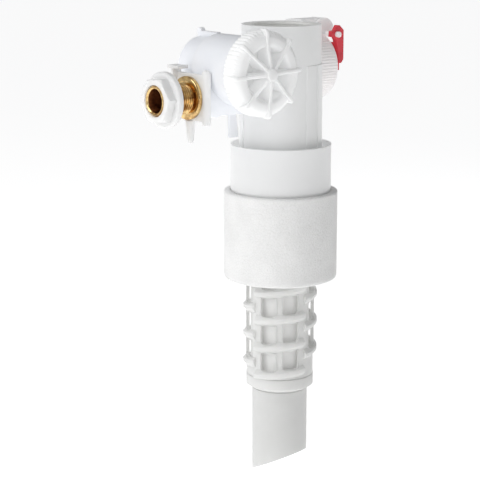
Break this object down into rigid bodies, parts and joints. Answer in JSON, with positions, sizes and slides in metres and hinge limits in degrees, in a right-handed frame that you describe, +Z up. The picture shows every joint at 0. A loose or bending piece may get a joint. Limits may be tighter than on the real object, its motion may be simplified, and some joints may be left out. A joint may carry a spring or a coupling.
{
  "type": "float valve",
  "caption": "Side-inlet cistern float valve with a ring float round the main tube, a stop-valve hand wheel, a pilot lever and a threaded foot sleeve with a slanted outlet pipe.",
  "frame": {"origin": "on the inlet axis, 1.6 mm inside the outer face of the brass flange that seats on the cistern wall", "axes": "+Z up along the main tube, -X out through the inlet, -Y towards the front of the hand wheel"},
  "size_m": [0.1301, 0.0727, 0.2582],
  "materials": {
    "polypropylene": "moulded, slightly translucent white",
    "blue_white_pp": "moulded, bluish white",
    "grey_white_pp": "moulded, natural polypropylene",
    "foam": "expanded polystyrene, fine bead skin",
    "brass": "turned brass",
    "rubber": "moulded nitrile rubber",
    "red_plastic": "moulded, glossy red",
    "fibre": "pressed fibre",
    "acetal": "acetal, natural"
  },
  "bodies": {
    "body": {"inlet_stub": "brass", "inlet_seal": "rubber", "inlet_strainer": "acetal", "flow_limiter": "acetal", "inlet_bracket": "polypropylene", "valve_chamber": "blue_white_pp", "rear_cover": "blue_white_pp", "rear_cover_seal": "rubber", "gland_bush": "acetal", "spindle_o_ring": "rubber", "main_tube": "polypropylene", "overflow_tube": "grey_white_pp", "pilot_housing": "polypropylene", "union_cap": "polypropylene", "diaphragm": "rubber", "lever_pin": "polypropylene"},
    "nut_slide": {"nut_washer": "fibre"},
    "nut": {"inlet_nut": "polypropylene"},
    "wheel": {"hand_wheel": "polypropylene", "spindle": "acetal"},
    "plunger": {"shutoff_plunger": "acetal", "shutoff_washer": "rubber"},
    "float": {"link_rod": "polypropylene", "float_cup": "polypropylene", "foam_float": "foam", "float_retainer": "polypropylene"},
    "lever": {"pilot_lever": "red_plastic"},
    "pilot": {"pilot_pin": "acetal"},
    "outlet": {"outlet_pipe": "grey_white_pp", "collar_ring": "grey_white_pp", "pipe_o_ring": "rubber"},
    "foot": {"foot_sleeve": "grey_white_pp"}
  },
  "joints": [
    {"name": "nut_run", "type": "slide", "parent": "body", "child": "nut_slide", "axis": [1, 0, 0], "range_m": [-0.006, 0.011]},
    {"name": "nut_turn", "type": "hinge", "parent": "nut_slide", "child": "nut", "pos_m": [0, 0, 0], "axis": [1, 0, 0], "range_deg": [-1620, 2965]},
    {"name": "wheel_turn", "type": "hinge", "parent": "body", "child": "wheel", "pos_m": [0.0242, 0, 0.0137], "axis": [0, -1, 0], "range_deg": [-540, 0]},
    {"name": "plunger_slide", "type": "slide", "parent": "body", "child": "plunger", "axis": [0, 1, 0], "range_m": [0, 0.0036]},
    {"name": "float_rise", "type": "slide", "parent": "body", "child": "float", "axis": [0, 0, 1], "range_m": [0, 0.004]},
    {"name": "lever_swing", "type": "hinge", "parent": "body", "child": "lever", "pos_m": [0.1031, 0, 0.0278], "axis": [0, 1, 0], "range_deg": [0, 9.3]},
    {"name": "pilot_slide", "type": "slide", "parent": "body", "child": "pilot", "axis": [-1, 0, 0], "range_m": [0, 0.003]},
    {"name": "foot_slide", "type": "slide", "parent": "body", "child": "outlet", "axis": [0, 0, 1], "range_m": [-0.025, 0.025]},
    {"name": "foot_turn", "type": "hinge", "parent": "outlet", "child": "foot", "pos_m": [0.0648, 0, 0], "axis": [0, 0, 1], "range_deg": [-575, 575]}
  ],
  "couplings": [
    {"joint": "nut_turn", "follows": "nut_run", "rad_per_m": 4699.5},
    {"joint": "plunger_slide", "follows": "wheel_turn", "m_per_rad": -0.00038197},
    {"joint": "lever_swing", "follows": "float_rise", "rad_per_m": 40.258},
    {"joint": "pilot_slide", "follows": "float_rise", "ratio": 0.72061},
    {"joint": "foot_turn", "follows": "foot_slide", "rad_per_m": 397.67}
  ]
}
